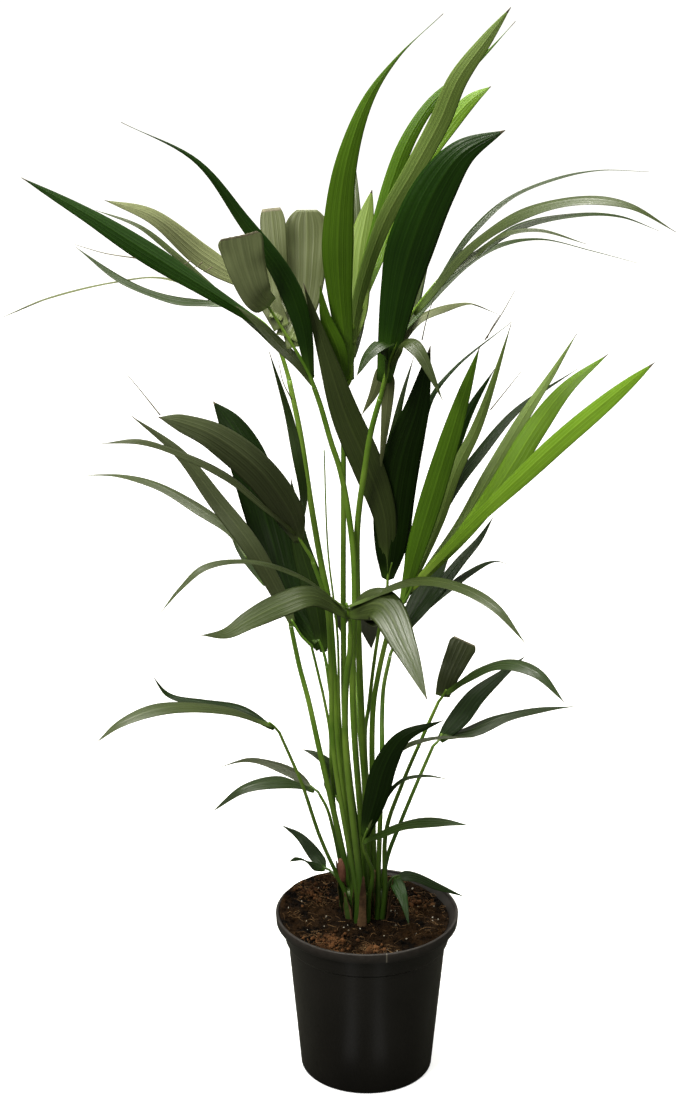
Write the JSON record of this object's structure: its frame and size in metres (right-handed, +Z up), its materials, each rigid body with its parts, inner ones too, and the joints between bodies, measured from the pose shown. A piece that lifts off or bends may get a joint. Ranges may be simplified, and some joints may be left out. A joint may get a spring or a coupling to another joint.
{
  "type": "potted kentia palm",
  "caption": "Kentia palm: slim arching fronds of long strap leaflets on thin green petioles, rising from a clump in a round black nursery pot.",
  "frame": {"origin": "middle of the pot's flat underside", "axes": "+Z up the plant, +X to the plant's right seen from its front, -Y towards its front"},
  "size_m": [0.7214, 0.5455, 1.2253],
  "materials": {
    "pot_plastic": "satin black injection-moulded plastic",
    "soil": "damp fibrous peat with coir",
    "stem": "green stem wrapped in dry brown sheaths",
    "petiole": "smooth waxy green",
    "leaf_dark": "glossy dark green leaf",
    "leaf_olive": "grey-olive leaf underside",
    "leaf_bright": "glossy bright green young leaf"
  },
  "bodies": {
    "root": {"pot": "pot_plastic", "soil": "soil", "stem_left": "stem", "stem_left_back": "stem", "stem_front": "stem", "stem_back": "stem", "stem_right": "stem", "petiole_upper_left_outer": "petiole", "frond_upper_left_outer": "leaf_dark", "petiole_upper_left_inner": "petiole", "frond_upper_left_inner": "leaf_olive", "petiole_top": "petiole", "frond_top": "leaf_bright", "petiole_upper_right": "petiole", "frond_upper_right": "leaf_dark", "petiole_centre": "petiole", "frond_centre": "leaf_dark", "petiole_right": "petiole", "frond_right": "leaf_bright", "petiole_right_back": "petiole", "frond_right_back": "leaf_dark", "petiole_front": "petiole", "frond_front": "leaf_dark", "petiole_mid_left_front": "petiole", "frond_mid_left_front": "leaf_olive", "petiole_mid_left_back": "petiole", "frond_mid_left_back": "leaf_dark", "petiole_mid_left_slim": "petiole", "frond_mid_left_slim": "leaf_dark", "petiole_mid_left_inner": "petiole", "frond_mid_left_inner": "leaf_dark", "petiole_back": "petiole", "frond_back": "leaf_dark", "petiole_low_left_outer": "petiole", "frond_low_left_outer": "leaf_dark", "petiole_low_left_inner": "petiole", "frond_low_left_inner": "leaf_dark", "petiole_foot_left": "petiole", "frond_foot_left": "leaf_dark", "petiole_low_right_front": "petiole", "frond_low_right_front": "leaf_dark", "petiole_low_right_back": "petiole", "frond_low_right_back": "leaf_dark", "petiole_low_centre": "petiole", "frond_low_centre": "leaf_dark", "petiole_foot_right": "petiole", "frond_foot_right": "leaf_dark", "petiole_low_back_left": "petiole", "frond_low_back_left": "leaf_dark", "spear_leaf": "petiole"}
  },
  "joints": []
}
